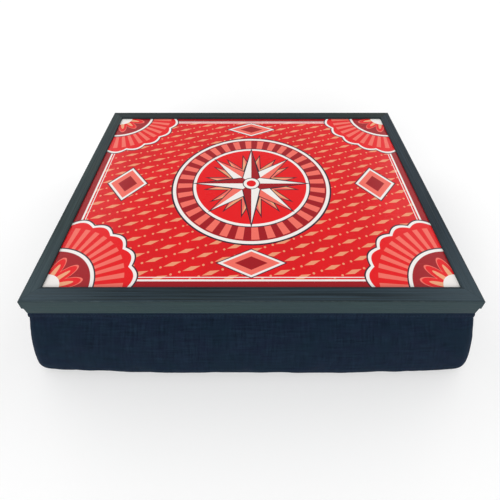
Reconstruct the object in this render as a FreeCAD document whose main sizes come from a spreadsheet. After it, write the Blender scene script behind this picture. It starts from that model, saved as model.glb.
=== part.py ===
import FreeCAD, Part
import Sketcher
import math
import os

# Lap tray on a bean cushion: a mitred wooden frame holds a printed panel, and hook and loop tape
# holds the frame on a sewn cushion. Millimetres, +Z up, the front is -Y, and the origin is at the
# middle of the cushion's flat base.

SIZES = (
    ("tray_width", 440, "frame, outer face to outer face along X"),
    ("tray_depth", 340, "frame, outer face to outer face along Y"),
    ("rail_face", 16, "rail, width seen from above"),
    ("lip_overlap", 4, "lip, reach over the panel"),
    ("lip_thickness", 2.4, "lip, height above the panel"),
    ("top_arris", 1.2, "rounding of the outer top edge"),
    ("lip_arris", 0.6, "rounding of the lip's inner top edge"),
    ("relief_land", 12, "height of the upright face left above the undercut of a short rail"),
    ("relief_slope_run", 1, "undercut, how far its sloped wall runs inwards"),
    ("relief_foot", 9, "short rail, width of the foot left behind the undercut"),
    ("laminate_thickness", 0.8, "printed laminate"),
    ("board_thickness", 9, "board under the laminate"),
    ("backing_thickness", 3, "hardboard back"),
    ("panel_clearance", 0.5, "gap between the panel's edge and the rail"),
    ("hook_thickness", 2, "hook tape"),
    ("loop_thickness", 2.4, "loop tape"),
    ("tape_clearance", 0.2, "gap between hook and loop tape"),
    ("tape_width", 20, "hook and loop tape"),
    ("tape_inset", 20, "from the rail's inner wall to the tape's edge"),
    ("tape_corner_gap", 20, "from the end of one tape to the edge of its neighbour"),
    ("pin_diameter", 1.4, "panel pin, shank"),
    ("pin_length", 24, "panel pin, with its head"),
    ("pin_head_diameter", 2, "panel pin, head"),
    ("pin_head_thickness", 0.8, "panel pin, head"),
    ("pin_sink", 1.2, "depth of the pin's head under the painted face"),
    ("point_length", 10, "retaining point"),
    ("point_width", 6, "retaining point"),
    ("point_thickness", 0.6, "retaining point"),
    ("point_embed", 3, "retaining point, depth in the rail"),
    ("cushion_height", 95, "base of the cushion to the underside of the frame"),
    ("cloth_thickness", 1, "cushion cloth"),
    ("seat_width", 9, "width of the frame's underside that rests on the cushion's top"),
    ("waist_depth", 1, "waist under the seam's flange, drawn in from the top seam"),
    ("waist_drop", 8, "waist under the seam's flange, depth under the top seam"),
    ("belly_reach", 11, "widest part of the cushion, beyond the frame's outer face"),
    ("base_tuck", 4, "edge of the flat base, drawn in from the cushion's widest part"),
    ("base_rounding", 9, "height over which the cushion's lower edge rounds"),
    ("side_swell", 5, "how far the middle of each side swells out in plan"),
    ("seam_corner", 3, "corner radius in plan at the top seam"),
    ("belly_corner", 17, "corner radius in plan at the belly"),
    ("base_corner", 13, "corner radius in plan at the base"),
    ("fill_clearance", 0.3, "gap between the bead fill and its cloth"),
    ("cut_overrun", 1, "how far a cutting outline passes the faces that it cuts"),
)

# Where pins and points sit along what carries them.
PIN_DROP_SHARES = (0.35, 0.70)
LONG_POINT_SHARES = (-0.40, -0.20, 0.0, 0.20, 0.40)
SHORT_POINT_SHARES = (-0.36, -0.12, 0.12, 0.36)

# The cushion's side, as counts of outlines up the rounded lower edge and from there to the waist, the
# power by which the side draws in late, towards the waist, and how much of the swell is left at the
# base and at the waist.
ROUNDING_STEPS = 6
SIDE_STEPS = 9
DRAWING_IN = 2.4
BASE_SWELL_SHARE = 0.9
WAIST_SWELL_SHARE = 0.3

doc = FreeCAD.newDocument("LapTray")
sheet = doc.addObject("Spreadsheet::Sheet", "Sizes")
for row, (alias, number, note) in enumerate(SIZES, start=1):
    sheet.set(f"A{row}", alias)
    sheet.set(f"B{row}", str(number))
    sheet.set(f"C{row}", note)
    sheet.setAlias(f"B{row}", alias)
doc.recompute()

# Derived sizes, as expressions.
HALF_WIDTH = "(Sizes.tray_width / 2)"
HALF_DEPTH = "(Sizes.tray_depth / 2)"
WALL = "(Sizes.rail_face - Sizes.lip_overlap)"
PANEL_WIDTH = f"(Sizes.tray_width - 2 * {WALL} - 2 * Sizes.panel_clearance)"
PANEL_DEPTH = f"(Sizes.tray_depth - 2 * {WALL} - 2 * Sizes.panel_clearance)"
TAPE_RECESS = "(Sizes.hook_thickness + Sizes.loop_thickness + Sizes.tape_clearance)"
BOARD_BASE = f"({TAPE_RECESS} + Sizes.backing_thickness)"
LAMINATE_BASE = f"({BOARD_BASE} + Sizes.board_thickness)"
LIP_BASE = f"({LAMINATE_BASE} + Sizes.laminate_thickness)"
RAIL_HEIGHT = f"({LIP_BASE} + Sizes.lip_thickness)"
RELIEF_RISE = f"({RAIL_HEIGHT} - Sizes.relief_land)"
RELIEF_DEPTH = f"({WALL} - Sizes.relief_foot)"
RELIEF_STEP = f"({RELIEF_DEPTH} - Sizes.relief_slope_run)"
TAPE_EDGE = f"({WALL} + Sizes.tape_inset)"
TAPE_END = f"({TAPE_EDGE} + Sizes.tape_width + Sizes.tape_corner_gap)"
SEAM_INSET = f"({WALL} - Sizes.seat_width)"
COVER_TOP = "(Sizes.cushion_height - Sizes.cloth_thickness)"


def value(expression):
    """Number that an expression gives with the sizes in the sheet."""
    return float(sheet.evalExpression(expression))


def bind(item, **expressions):
    """Tie properties of a document object to the sizes in the sheet."""
    for name, expression in expressions.items():
        item.setExpression(name, expression)


def place(item, x="0", y="0", z="0"):
    """Tie an object's position to the sizes in the sheet."""
    item.setExpression("Placement.Base.x", x)
    item.setExpression("Placement.Base.y", y)
    item.setExpression("Placement.Base.z", z)


def outline_sketch(body, name, plane_role, outlines):
    """Sketch on a body's origin plane, with closed polygons whose corners are pairs of expressions."""
    sketch = body.newObject("Sketcher::SketchObject", name)
    plane = next(feature for feature in body.Origin.OriginFeatures if feature.Role == plane_role)
    sketch.AttachmentSupport = (plane, "")
    sketch.MapMode = "FlatFace"
    for corners in outlines:
        add_polygon(sketch, corners)
    return sketch


def add_polygon(sketch, corners):
    """Closed polygon in a sketch, with every corner's place bound to its pair of expressions."""
    first = sketch.GeometryCount
    count = len(corners)
    points = [FreeCAD.Vector(value(across), value(up), 0) for across, up in corners]
    for index in range(count):
        sketch.addGeometry(Part.LineSegment(points[index], points[(index + 1) % count]), False)
    for index in range(count):
        following = first + (index + 1) % count
        sketch.addConstraint(Sketcher.Constraint("Coincident", first + index, 2, following, 1))
    for index, corner in enumerate(corners):
        for kind, expression in zip(("DistanceX", "DistanceY"), corner):
            rule = Sketcher.Constraint(kind, -1, 1, first + index, 1, value(expression))
            number = sketch.addConstraint(rule)
            sketch.setExpression(f"Constraints[{number}]", expression)


def pad(body, name, sketch, length, side="One side"):
    """Pad a sketch by a length given as an expression."""
    feature = body.newObject("PartDesign::Pad", name)
    feature.Profile = sketch
    feature.SideType = side
    bind(feature, Length=length)
    doc.recompute()
    return feature


def cut_through(body, name, sketch):
    """Pocket a sketch through the whole body, both ways, and make sure that it removed something."""
    volume_before = body.Shape.Volume
    feature = body.newObject("PartDesign::Pocket", name)
    feature.Profile = sketch
    feature.Type = "ThroughAll"
    feature.SideType = "Symmetric"
    doc.recompute()
    if body.Shape.Volume >= volume_before:
        raise RuntimeError(f"{name} cut nothing")
    return feature


def straight_edges_at(shape, **levels):
    """Names of the straight edges that lie wholly at the given levels, such as y and z."""
    names = []
    for number, edge in enumerate(shape.Edges, start=1):
        ends = [vertex.Point for vertex in edge.Vertexes]
        if all(math.isclose(getattr(end, axis), level) for end in ends for axis, level in levels.items()):
            names.append(f"Edge{number}")
    return names


def round_edges(body, name, base, edges, radius):
    """Fillet some edges of a body's feature by a radius given as an expression."""
    feature = body.newObject("PartDesign::Fillet", name)
    feature.Base = (base, edges)
    bind(feature, Radius=radius)
    doc.recompute()
    return feature


def signed(side, expression):
    """An expression on the positive or the negative side of the origin."""
    return expression if side > 0 else f"-{expression}"


def rail_profile(side, half_span):
    """Section of a rail: wall, and a lip over the panel. Across is measured outwards from the middle."""
    outer = signed(side, half_span)
    inner = signed(side, f"({half_span} - {WALL})")
    lip = signed(side, f"({half_span} - Sizes.rail_face)")
    return (
        (outer, "0"),
        (inner, "0"),
        (inner, LIP_BASE),
        (lip, LIP_BASE),
        (lip, RAIL_HEIGHT),
        (outer, RAIL_HEIGHT),
    )


def mitre_waste(side_x, side_y, along_x):
    """Triangle beyond a 45 degree mitre, on the far side from a rail along X or along Y."""
    over = "Sizes.cut_overrun"
    outer_x = signed(side_x, f"({HALF_WIDTH} + {over})")
    outer_y = signed(side_y, f"({HALF_DEPTH} + {over})")
    inner_x = signed(side_x, f"({HALF_WIDTH} - Sizes.rail_face - {over})")
    inner_y = signed(side_y, f"({HALF_DEPTH} - Sizes.rail_face - {over})")
    far_corner = (outer_x, inner_y) if along_x else (inner_x, outer_y)
    return ((outer_x, outer_y), far_corner, (inner_x, inner_y))


def relief_waste(side_x):
    """Section of the undercut that runs under the outer edge of a short rail."""
    over = "Sizes.cut_overrun"
    outside = signed(side_x, f"({HALF_WIDTH} + {over})")
    step = signed(side_x, f"({HALF_WIDTH} - {RELIEF_STEP})")
    foot = signed(side_x, f"({HALF_WIDTH} - {RELIEF_DEPTH})")
    return (
        (outside, f"-{over}"),
        (outside, RELIEF_RISE),
        (step, RELIEF_RISE),
        (foot, "0"),
        (foot, f"-{over}"),
    )


def rail_blank(name, side, along_x):
    """One mitred rail before its pins and points go in."""
    body = doc.addObject("PartDesign::Body", f"{name}_blank")
    half_span = HALF_DEPTH if along_x else HALF_WIDTH
    length = "Sizes.tray_width" if along_x else "Sizes.tray_depth"
    section_plane = "YZ_Plane" if along_x else "XZ_Plane"
    profile = outline_sketch(body, f"{name}_profile", section_plane, [rail_profile(side, half_span)])
    moulding = pad(body, f"{name}_moulding", profile, length, "Symmetric")

    across = "y" if along_x else "x"
    top = value(RAIL_HEIGHT)
    outer_level = {across: side * value(half_span), "z": top}
    outer_edges = straight_edges_at(moulding.Shape, **outer_level)
    rounded = round_edges(body, f"{name}_top_arris", moulding, outer_edges, "Sizes.top_arris")
    lip_level = {across: side * value(f"{half_span} - Sizes.rail_face"), "z": top}
    lip_edges = straight_edges_at(rounded.Shape, **lip_level)
    round_edges(body, f"{name}_lip_arris", rounded, lip_edges, "Sizes.lip_arris")

    if along_x:
        ends = [mitre_waste(end, side, True) for end in (-1, 1)]
        reliefs = [relief_waste(end) for end in (-1, 1)]
    else:
        ends = [mitre_waste(side, end, False) for end in (-1, 1)]
        reliefs = [relief_waste(side)]
    cut_through(body, f"{name}_mitres", outline_sketch(body, f"{name}_mitre_lines", "XY_Plane", ends))
    cut_through(body, f"{name}_relief", outline_sketch(body, f"{name}_relief_lines", "XZ_Plane", reliefs))
    place(body, z="Sizes.cushion_height")
    return body


def panel_pin(name, axis, end_side, x, y, z):
    """Panel pin with a flat head, driven along X or Y from the end given by its sign."""
    turn = {"x": FreeCAD.Vector(0, 1, 0), "y": FreeCAD.Vector(-1, 0, 0)}[axis]
    head_from_tip = "(Sizes.pin_length - Sizes.pin_head_thickness)"
    pieces = []
    for piece, diameter, height, offset in (
        ("shank", "Sizes.pin_diameter", "Sizes.pin_length", "0"),
        ("head", "Sizes.pin_head_diameter", "Sizes.pin_head_thickness", head_from_tip),
    ):
        cylinder = doc.addObject("Part::Cylinder", f"{name}_{piece}")
        cylinder.Placement = FreeCAD.Placement(FreeCAD.Vector(), FreeCAD.Rotation(turn, 90 * end_side))
        bind(cylinder, Radius=f"{diameter} / 2", Height=height)
        reach = signed(end_side, offset)
        place(cylinder, f"{x} + {reach}" if axis == "x" else x, f"{y} + {reach}" if axis == "y" else y, z)
        pieces.append(cylinder)
    pin = doc.addObject("Part::Fuse", name)
    pin.Base = pieces[0]
    pin.Tool = pieces[1]
    return pin


def mitre_pins():
    """Two pins across each mitre, one along X and one along Y, at different heights so that they pass."""
    top = f"(Sizes.cushion_height + {RAIL_HEIGHT})"
    heights = [f"{top} - Sizes.relief_land * {share}" for share in PIN_DROP_SHARES]
    tip = "(Sizes.pin_sink + Sizes.pin_length)"
    pins = []
    for side_x in (-1, 1):
        for side_y in (-1, 1):
            corner = f"{'left' if side_x < 0 else 'right'}_{'front' if side_y < 0 else 'rear'}"
            tip_x = signed(side_x, f"({HALF_WIDTH} - {tip})")
            tip_y = signed(side_y, f"({HALF_DEPTH} - {tip})")
            middle_x = signed(side_x, f"({HALF_WIDTH} - {WALL} / 2)")
            middle_y = signed(side_y, f"({HALF_DEPTH} - {WALL} / 2)")
            pins.append(panel_pin(f"pin_{corner}_x", "x", side_x, tip_x, middle_y, heights[0]))
            pins.append(panel_pin(f"pin_{corner}_y", "y", side_y, middle_x, tip_y, heights[1]))
    group = doc.addObject("Part::Compound", "mitre_pins")
    group.Links = pins
    return group


def block(name, length, width, height, x, y, z):
    """Rectangular piece, centred in plan on x and y and standing on the level z."""
    box = doc.addObject("Part::Box", name)
    bind(box, Length=length, Width=width, Height=height)
    place(box, f"{x} - {length} / 2", f"{y} - {width} / 2", z)
    return box


def retaining_points():
    """Flat points driven into the rails' inner walls, just under the backing board."""
    level = f"Sizes.cushion_height + {TAPE_RECESS} - Sizes.point_thickness"
    reach = f"({WALL} - Sizes.point_embed + Sizes.point_length / 2)"
    points = []
    for side, word in ((-1, "front"), (1, "rear")):
        y = signed(side, f"({HALF_DEPTH} - {reach})")
        for number, share in enumerate(LONG_POINT_SHARES):
            x = f"{PANEL_WIDTH} * {share}"
            points.append(block(f"point_{word}_{number}", "Sizes.point_width", "Sizes.point_length",
                                "Sizes.point_thickness", x, y, level))
    for side, word in ((-1, "left"), (1, "right")):
        x = signed(side, f"({HALF_WIDTH} - {reach})")
        for number, share in enumerate(SHORT_POINT_SHARES):
            y = f"{PANEL_DEPTH} * {share}"
            points.append(block(f"point_{word}_{number}", "Sizes.point_length", "Sizes.point_width",
                                "Sizes.point_thickness", x, y, level))
    group = doc.addObject("Part::Compound", "retaining_points")
    group.Links = points
    return group


def frame_rails(fasteners):
    """The four rails, each with the holes and slots that its pins and points fill."""
    rails = []
    for name, side, along_x in (
        ("front_rail", -1, True),
        ("rear_rail", 1, True),
        ("left_rail", -1, False),
        ("right_rail", 1, False),
    ):
        blank = rail_blank(name, side, along_x)
        rail = doc.addObject("Part::Cut", name)
        rail.Base = blank
        rail.Tool = fasteners
        rails.append(rail)
    return rails


def panel_layers():
    """The printed laminate on its board, and the hardboard back, all in the frame's rebate."""
    layers = []
    for name, thickness, base in (
        ("backing_board", "Sizes.backing_thickness", TAPE_RECESS),
        ("tray_board", "Sizes.board_thickness", BOARD_BASE),
        ("printed_laminate", "Sizes.laminate_thickness", LAMINATE_BASE),
    ):
        level = f"Sizes.cushion_height + {base}"
        layers.append(block(name, PANEL_WIDTH, PANEL_DEPTH, thickness, "0", "0", level))
    return layers


def tape_strips():
    """Hook tape under the backing board, over loop tape on the cushion, one pair along each rail."""
    hook_level = f"Sizes.cushion_height + {TAPE_RECESS} - Sizes.hook_thickness"
    long_strip = f"(Sizes.tray_width - 2 * {TAPE_END})"
    short_strip = f"(Sizes.tray_depth - 2 * {TAPE_END})"
    middle = f"({TAPE_EDGE} + Sizes.tape_width / 2)"
    strips = []
    for word, length, width, x, y in (
        ("front", long_strip, "Sizes.tape_width", "0", f"-({HALF_DEPTH} - {middle})"),
        ("rear", long_strip, "Sizes.tape_width", "0", f"({HALF_DEPTH} - {middle})"),
        ("left", "Sizes.tape_width", short_strip, f"-({HALF_WIDTH} - {middle})", "0"),
        ("right", "Sizes.tape_width", short_strip, f"({HALF_WIDTH} - {middle})", "0"),
    ):
        strips.append(block(f"hook_strip_{word}", length, width, "Sizes.hook_thickness", x, y, hook_level))
        strips.append(block(f"loop_strip_{word}", length, width, "Sizes.loop_thickness", x, y,
                            "Sizes.cushion_height"))
    return strips


def cushion_top_panel():
    """Flat cloth top of the cushion, with rounded corners, sewn to the cover along its edge."""
    body = doc.addObject("PartDesign::Body", "cushion_top_panel")
    across = f"({HALF_WIDTH} - {SEAM_INSET})"
    along = f"({HALF_DEPTH} - {SEAM_INSET})"
    corners = (
        (f"-{across}", f"-{along}"),
        (across, f"-{along}"),
        (across, along),
        (f"-{across}", along),
    )
    outline = outline_sketch(body, "top_panel_outline", "XY_Plane", [corners])
    sheet_of_cloth = pad(body, "top_panel_cloth", outline, "Sizes.cloth_thickness")
    upright = []
    for side_x in (-1, 1):
        for side_y in (-1, 1):
            levels = {"x": side_x * value(across), "y": side_y * value(along)}
            upright += straight_edges_at(sheet_of_cloth.Shape, **levels)
    round_edges(body, "top_panel_corners", sheet_of_cloth, upright, "Sizes.seam_corner")
    place(body, z=COVER_TOP)
    return body


def between(first, last, share):
    """Value a share of the way from the first to the last."""
    return first + (last - first) * share


def cushion_stations():
    """Levels up the cushion's side: height, inset from the frame, swell in plan and corner radius."""
    cover_top = value(COVER_TOP)
    seam_inset = value(SEAM_INSET)
    waist_inset = seam_inset + sheet.waist_depth
    waist_height = cover_top - sheet.waist_drop
    waist_swell = sheet.side_swell * WAIST_SWELL_SHARE
    stations = []
    for step in range(ROUNDING_STEPS):
        turn = step / ROUNDING_STEPS * math.pi / 2
        height = sheet.base_rounding * (1 - math.cos(turn))
        inset = sheet.base_tuck * (1 - math.sin(turn)) - sheet.belly_reach
        swell = sheet.side_swell * between(BASE_SWELL_SHARE, 1, math.sin(turn))
        corner = between(sheet.base_corner, sheet.belly_corner, math.sin(turn))
        stations.append((height, inset, swell, corner))
    for step in range(SIDE_STEPS):
        share = step / SIDE_STEPS
        drawn_in = share ** DRAWING_IN
        height = between(sheet.base_rounding, waist_height, share)
        inset = between(-sheet.belly_reach, waist_inset, drawn_in)
        swell = between(sheet.side_swell, waist_swell, drawn_in)
        corner = between(sheet.belly_corner, sheet.seam_corner, drawn_in)
        stations.append((height, inset, swell, corner))
    stations.append((waist_height, waist_inset, waist_swell, sheet.seam_corner))
    stations.append((cover_top, seam_inset, 0, sheet.seam_corner))
    return stations


def swollen_outline(half_width, half_depth, swell, corner, height):
    """Closed outline at one height: four sides that swell out in the middle, and four round corners."""
    half_sides = ((half_width, half_depth), (half_depth, half_width))
    edges = []
    for quarter in range(4):
        reach, distance = half_sides[quarter % 2]
        turn = FreeCAD.Rotation(FreeCAD.Vector(0, 0, 1), 90 * quarter)
        knee = corner * (1 - math.sqrt(0.5))
        side_start = turn.multVec(FreeCAD.Vector(corner - reach, -distance, height))
        side_middle = turn.multVec(FreeCAD.Vector(0, -distance - swell, height))
        side_end = turn.multVec(FreeCAD.Vector(reach - corner, -distance, height))
        corner_middle = turn.multVec(FreeCAD.Vector(reach - knee, knee - distance, height))
        corner_end = turn.multVec(FreeCAD.Vector(reach, corner - distance, height))
        if swell > 0:
            edges.append(Part.Arc(side_start, side_middle, side_end).toShape())
        else:
            edges.append(Part.LineSegment(side_start, side_end).toShape())
        edges.append(Part.Arc(side_end, corner_middle, corner_end).toShape())
    return Part.Wire(edges)


def cushion_solid(margin, base, top):
    """Solid through the cushion's stations, drawn in by a margin, from one height to another."""
    outlines = []
    for height, inset, swell, corner in cushion_stations():
        half_width = value(HALF_WIDTH) - inset - margin
        half_depth = value(HALF_DEPTH) - inset - margin
        level = between(base, top, height / value(COVER_TOP))
        outlines.append(swollen_outline(half_width, half_depth, swell, corner - margin, level))
    return Part.makeLoft(outlines, True, True)


def cushion_cover():
    """The cushion's cloth: a bag of even thickness, open at the top, where the top panel closes it."""
    cover_top = value(COVER_TOP)
    outside = cushion_solid(0, 0, cover_top)
    inside = cushion_solid(sheet.cloth_thickness, sheet.cloth_thickness, cover_top)
    cover = doc.addObject("Part::Feature", "cushion_cover")
    cover.Shape = outside.cut(inside)
    cover.Placement = FreeCAD.Placement()
    return cover


def bead_fill():
    """The loose filling, as one body that fills the bag up to just under the top panel."""
    cover_top = value(COVER_TOP)
    margin = sheet.cloth_thickness + sheet.fill_clearance
    filling = cushion_solid(margin, margin, cover_top)
    fill_top = cover_top - sheet.fill_clearance
    headroom = Part.makeBox(sheet.tray_width, sheet.tray_depth, sheet.fill_clearance + sheet.cut_overrun)
    headroom.translate(FreeCAD.Vector(-sheet.tray_width / 2, -sheet.tray_depth / 2, fill_top))
    fill = doc.addObject("Part::Feature", "bead_fill")
    fill.Shape = filling.cut(headroom)
    fill.Placement = FreeCAD.Placement()
    return fill


pins = mitre_pins()
points = retaining_points()
fasteners = doc.addObject("Part::Compound", "fasteners")
fasteners.Links = [pins, points]
doc.recompute()
parts = frame_rails(fasteners)
parts += [pins, points]
parts += panel_layers()
parts += tape_strips()
parts += [cushion_top_panel(), cushion_cover(), bead_fill()]
doc.recompute()

for item in doc.Objects:
    if "Invalid" in item.State or "Error" in item.State:
        raise RuntimeError(f"{item.Label} failed: {item.State}")
for part in parts:
    if part.Shape.isNull() or not part.Shape.isValid() or not part.Shape.Solids:
        raise RuntimeError(f"{part.Label} has no valid solid")

os.makedirs("parts", exist_ok=True)
for part in parts:
    part.Shape.exportStep(f"parts/{part.Label}.step")
    solids = len(part.Shape.Solids)
    print(f"{part.Label}: {solids} solid{'s' if solids > 1 else ''}, {part.Shape.Volume / 1000:.2f} cm3")
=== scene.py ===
"""Lap tray on a bean cushion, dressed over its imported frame. Metres, +Z up, the front is -Y."""
import math

import bpy
import numpy as np
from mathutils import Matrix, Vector, noise


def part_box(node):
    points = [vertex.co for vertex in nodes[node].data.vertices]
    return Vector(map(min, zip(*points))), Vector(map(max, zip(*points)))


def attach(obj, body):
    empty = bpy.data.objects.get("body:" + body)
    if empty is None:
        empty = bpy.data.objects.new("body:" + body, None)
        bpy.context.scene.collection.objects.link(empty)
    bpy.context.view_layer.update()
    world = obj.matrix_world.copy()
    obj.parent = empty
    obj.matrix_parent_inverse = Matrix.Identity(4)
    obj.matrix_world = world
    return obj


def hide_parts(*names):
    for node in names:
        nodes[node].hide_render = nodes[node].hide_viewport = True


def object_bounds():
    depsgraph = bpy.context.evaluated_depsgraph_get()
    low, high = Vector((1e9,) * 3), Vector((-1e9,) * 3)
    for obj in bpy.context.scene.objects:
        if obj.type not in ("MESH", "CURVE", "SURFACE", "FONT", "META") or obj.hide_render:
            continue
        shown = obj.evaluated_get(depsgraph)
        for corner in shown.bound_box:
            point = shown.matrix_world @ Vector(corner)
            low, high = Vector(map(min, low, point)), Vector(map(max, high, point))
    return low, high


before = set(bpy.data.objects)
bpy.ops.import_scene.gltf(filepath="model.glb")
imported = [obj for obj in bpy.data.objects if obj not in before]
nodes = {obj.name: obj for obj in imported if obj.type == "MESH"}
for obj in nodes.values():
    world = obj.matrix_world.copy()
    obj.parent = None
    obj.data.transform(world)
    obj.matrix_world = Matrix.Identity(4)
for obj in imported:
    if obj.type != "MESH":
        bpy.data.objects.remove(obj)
cad_low, cad_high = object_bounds()
scene = bpy.context.scene
scene.view_settings.view_transform = "Standard"

MM = 0.001
SIDES = ("front", "rear", "left", "right")

# Sizes that the frame gives.
rail_low, rail_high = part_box("front_rail")
RAIL_FACE = rail_high.y - rail_low.y
TRAY_TOP = rail_high.z
HALF_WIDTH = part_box("right_rail")[1].x
HALF_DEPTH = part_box("rear_rail")[1].y
strip_low, strip_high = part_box("loop_strip_front")
TAPE_WIDTH = strip_high.y - strip_low.y

# Smaller than any length here, to keep a division from failing.
TINY = 1e-9


def shade(red, green, blue):
    """Linear colour of a screen colour given in steps of 0 to 255."""
    parts = []
    for step in (red, green, blue):
        level = step / 255
        parts.append(level / 12.92 if level <= 0.04045 else ((level + 0.055) / 1.055) ** 2.4)
    return (*parts, 1.0)


class Field:
    """A number that varies over a surface, whose arithmetic adds nodes to its material."""

    def __init__(self, surface, socket):
        self.surface = surface
        self.socket = socket

    def __add__(self, other):
        return self.surface.math("ADD", self, other)

    def __sub__(self, other):
        return self.surface.math("SUBTRACT", self, other)

    def __rsub__(self, other):
        return self.surface.math("SUBTRACT", other, self)

    def __mul__(self, other):
        return self.surface.math("MULTIPLY", self, other)

    def __truediv__(self, other):
        return self.surface.math("DIVIDE", self, other)

    def __abs__(self):
        return self.surface.math("ABSOLUTE", self)


class Surface:
    """A procedural material around one principled shader. Lengths in it are in millimetres."""

    def __init__(self, name, **settings):
        self.material = bpy.data.materials.new(name)
        self.material.use_nodes = True
        self.tree = self.material.node_tree
        self.tree.nodes.clear()
        output = self.node("ShaderNodeOutputMaterial")
        self.shader = self.node("ShaderNodeBsdfPrincipled")
        self.tree.links.new(self.shader.outputs["BSDF"], output.inputs["Surface"])
        for words, setting in settings.items():
            self.shader.inputs[words.replace("_", " ")].default_value = setting

    def node(self, kind, **properties):
        made = self.tree.nodes.new(kind)
        for name, setting in properties.items():
            setattr(made, name, setting)
        return made

    def feed(self, socket, source):
        """Link a field or socket to an input, or set a plain number or colour on it."""
        if isinstance(source, Field):
            source = source.socket
        if isinstance(source, bpy.types.NodeSocket):
            self.tree.links.new(source, socket)
        else:
            socket.default_value = source

    def math(self, operation, first, second=0.0, third=0.0, clamp=False):
        made = self.node("ShaderNodeMath", operation=operation, use_clamp=clamp)
        for socket, source in zip(made.inputs, (first, second, third)):
            self.feed(socket, source)
        return Field(self, made.outputs[0])

    def split(self, source):
        """The three parts of a vector as fields."""
        made = self.node("ShaderNodeSeparateXYZ")
        self.tree.links.new(source, made.inputs[0])
        return [Field(self, output) for output in made.outputs]

    def place(self):
        """The three object coordinates as fields, in millimetres."""
        source = self.node("ShaderNodeTexCoord").outputs["Object"]
        return [part * (1 / MM) for part in self.split(source)]

    def flat(self, name):
        """The two coordinates of a map on the mesh as fields, in millimetres."""
        source = self.node("ShaderNodeUVMap", uv_map=name).outputs[0]
        return [part * (1 / MM) for part in self.split(source)[:2]]

    def upright(self):
        """How far the surface faces up, from -1 to 1."""
        return self.split(self.node("ShaderNodeTexCoord").outputs["Normal"])[2]

    def distance(self, x, y):
        """How far a point lies from the place where both fields are 0."""
        return self.math("SQRT", x * x + y * y)

    def wave(self, field, pitch):
        """A row of equal rounded humps from 0 to 1, one for each pitch."""
        return abs(self.math("SINE", field * (math.pi / pitch)))

    def noise(self, x, y, z, detail, roughness):
        """Smooth noise with features about one unit across."""
        spot = self.node("ShaderNodeCombineXYZ")
        for socket, source in zip(spot.inputs, (x, y, z)):
            self.feed(socket, source)
        made = self.node("ShaderNodeTexNoise")
        self.tree.links.new(spot.outputs[0], made.inputs["Vector"])
        made.inputs["Scale"].default_value = 1.0
        made.inputs["Detail"].default_value = detail
        made.inputs["Roughness"].default_value = roughness
        return Field(self, made.outputs[0])

    def within(self, distance, soft=0.3):
        """1 where a distance is positive and 0 where it isn't, with a soft edge."""
        return self.math("MULTIPLY_ADD", distance, 1 / soft, 0.5, clamp=True)

    def span(self, field, low, high):
        """A field stretched from low..high to 0..1 and held there."""
        return self.math("MULTIPLY_ADD", field, 1 / (high - low), -low / (high - low), clamp=True)

    def ramp(self, field, start, gain):
        """A straight line: the start, plus a field times its gain."""
        return self.math("MULTIPLY_ADD", field, gain, start)

    def mix(self, share, under, over):
        """One colour laid over another by a share."""
        made = self.node("ShaderNodeMix", data_type="RGBA", blend_type="MIX")
        self.feed(made.inputs[0], share)
        self.feed(made.inputs[6], under)
        self.feed(made.inputs[7], over)
        return made.outputs[2]

    def bump(self, height, depth):
        """Normal from a height field of 0..1, whose full height is the depth."""
        made = self.node("ShaderNodeBump")
        made.inputs["Strength"].default_value = 1.0
        made.inputs["Distance"].default_value = depth * MM
        self.feed(made.inputs["Height"], height)
        return made.outputs[0]

    def finish(self, colour, roughness, normal=None):
        self.feed(self.shader.inputs["Base Color"], colour)
        self.feed(self.shader.inputs["Roughness"], roughness)
        if normal is not None:
            self.feed(self.shader.inputs["Normal"], normal)
        return self.material


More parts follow.
